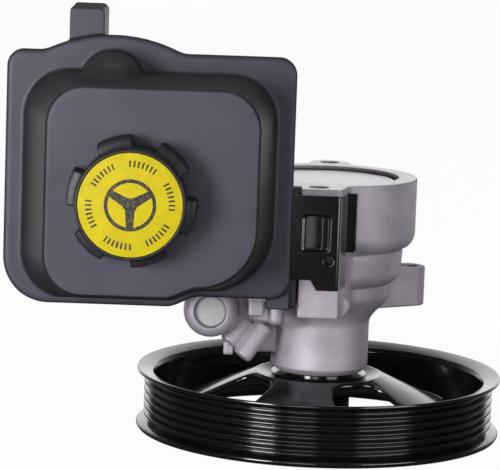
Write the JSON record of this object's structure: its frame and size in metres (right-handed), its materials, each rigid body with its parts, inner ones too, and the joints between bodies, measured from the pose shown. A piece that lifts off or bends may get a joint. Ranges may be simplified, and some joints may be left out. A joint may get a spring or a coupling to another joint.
{
  "type": "power steering pump",
  "caption": "Engine-driven power steering vane pump in a cast aluminium housing with a grooved belt pulley and a moulded fluid reservoir with a screw cap.",
  "frame": {"origin": "centre of the shaft nose, level with the pulley's lower rim", "axes": "+Z along the shaft from the pulley up to the end cover, +Y away from the filler cap, +X to the right seen from the cap"},
  "size_m": [0.2156, 0.2035, 0.1869],
  "materials": {
    "cast_aluminium": "fine sand-cast skin, light grey",
    "machined_aluminium": "turned face",
    "spring_steel": "dark oiled",
    "sintered_steel": "ground",
    "ground_steel": "ground and polished",
    "plated_steel": "zinc plated",
    "bronze": "bearing bronze",
    "rubber_seal": "smooth",
    "black_paint": "glossy black paint on steel",
    "black_clip_steel": "glossy black coating on spring steel",
    "tank_plastic": "satin dark blue-grey moulding",
    "cap_plastic": "satin black moulding",
    "yellow_label": "printed label"
  },
  "bodies": {
    "housing": {"pump_housing": "cast_aluminium", "end_cover": "machined_aluminium", "end_cover_ring": "spring_steel", "end_cover_o_ring": "rubber_seal", "pressure_plate": "sintered_steel", "pressure_plate_spring": "spring_steel", "cam_ring": "sintered_steel", "thrust_plate": "sintered_steel", "dowel_pins": "ground_steel", "shaft_bushing": "bronze", "shaft_seal": "rubber_seal", "valve_plug": "machined_aluminium", "valve_plug_ring": "spring_steel", "flow_valve_spring": "spring_steel", "outlet_union": "plated_steel", "outlet_union_o_ring": "rubber_seal", "reservoir_front": "tank_plastic", "reservoir_rear": "tank_plastic", "suction_o_ring": "rubber_seal", "clip_right": "black_clip_steel", "clip_left": "black_clip_steel"},
    "drive": {"drive_shaft": "ground_steel", "rotor": "sintered_steel", "rotor_ring": "spring_steel", "pulley": "black_paint", "pulley_hub": "black_paint"},
    "vane_1_blade": {"vane_1": "ground_steel"},
    "vane_2_blade": {"vane_2": "ground_steel"},
    "vane_3_blade": {"vane_3": "ground_steel"},
    "vane_4_blade": {"vane_4": "ground_steel"},
    "vane_5_blade": {"vane_5": "ground_steel"},
    "vane_6_blade": {"vane_6": "ground_steel"},
    "vane_7_blade": {"vane_7": "ground_steel"},
    "vane_8_blade": {"vane_8": "ground_steel"},
    "vane_9_blade": {"vane_9": "ground_steel"},
    "vane_10_blade": {"vane_10": "ground_steel"},
    "stick": {"dipstick": "cap_plastic", "cap_seal": "rubber_seal"},
    "cap": {"filler_cap": "cap_plastic", "cap_label": "yellow_label"},
    "spool": {"flow_valve_spool": "ground_steel"}
  },
  "joints": [
    {"name": "drive_spin", "type": "hinge", "parent": "housing", "child": "drive", "pos_m": [0, 0, 0], "axis": [0, 0, 1], "continuous": true},
    {"name": "vane_1_slide", "type": "slide", "parent": "drive", "child": "vane_1_blade", "axis": [1, 0, 0], "range_m": [-0.0012, 0]},
    {"name": "vane_2_slide", "type": "slide", "parent": "drive", "child": "vane_2_blade", "axis": [0.809, 0.5878, 0], "range_m": [-0.0012, 0]},
    {"name": "vane_3_slide", "type": "slide", "parent": "drive", "child": "vane_3_blade", "axis": [0.309, 0.9511, 0], "range_m": [-0.0012, 0]},
    {"name": "vane_4_slide", "type": "slide", "parent": "drive", "child": "vane_4_blade", "axis": [-0.309, 0.9511, 0], "range_m": [-0.0012, 0]},
    {"name": "vane_5_slide", "type": "slide", "parent": "drive", "child": "vane_5_blade", "axis": [-0.809, 0.5878, 0], "range_m": [-0.0012, 0]},
    {"name": "vane_6_slide", "type": "slide", "parent": "drive", "child": "vane_6_blade", "axis": [-1, 0, 0], "range_m": [-0.0012, 0]},
    {"name": "vane_7_slide", "type": "slide", "parent": "drive", "child": "vane_7_blade", "axis": [-0.809, -0.5878, 0], "range_m": [-0.0012, 0]},
    {"name": "vane_8_slide", "type": "slide", "parent": "drive", "child": "vane_8_blade", "axis": [-0.309, -0.9511, 0], "range_m": [-0.0012, 0]},
    {"name": "vane_9_slide", "type": "slide", "parent": "drive", "child": "vane_9_blade", "axis": [0.309, -0.9511, 0], "range_m": [-0.0012, 0]},
    {"name": "vane_10_slide", "type": "slide", "parent": "drive", "child": "vane_10_blade", "axis": [0.809, -0.5878, 0], "range_m": [-0.0012, 0]},
    {"name": "cap_lift", "type": "slide", "parent": "housing", "child": "stick", "axis": [0, -1, 0], "range_m": [0, 0.07]},
    {"name": "cap_turn", "type": "hinge", "parent": "stick", "child": "cap", "pos_m": [-0.0803, -0.12, 0.11386], "axis": [0, -1, 0], "range_deg": [0, 90]},
    {"name": "spool_slide", "type": "slide", "parent": "housing", "child": "spool", "axis": [0, -1, 0], "range_m": [0, 0.007], "stiffness_N_per_m": 1500, "deforming": ["flow_valve_spring"]}
  ],
  "couplings": [
    {"joint": "vane_6_slide", "follows": "vane_1_slide", "ratio": 1},
    {"joint": "vane_7_slide", "follows": "vane_2_slide", "ratio": 1},
    {"joint": "vane_8_slide", "follows": "vane_3_slide", "ratio": 1},
    {"joint": "vane_9_slide", "follows": "vane_4_slide", "ratio": 1},
    {"joint": "vane_10_slide", "follows": "vane_5_slide", "ratio": 1}
  ]
}
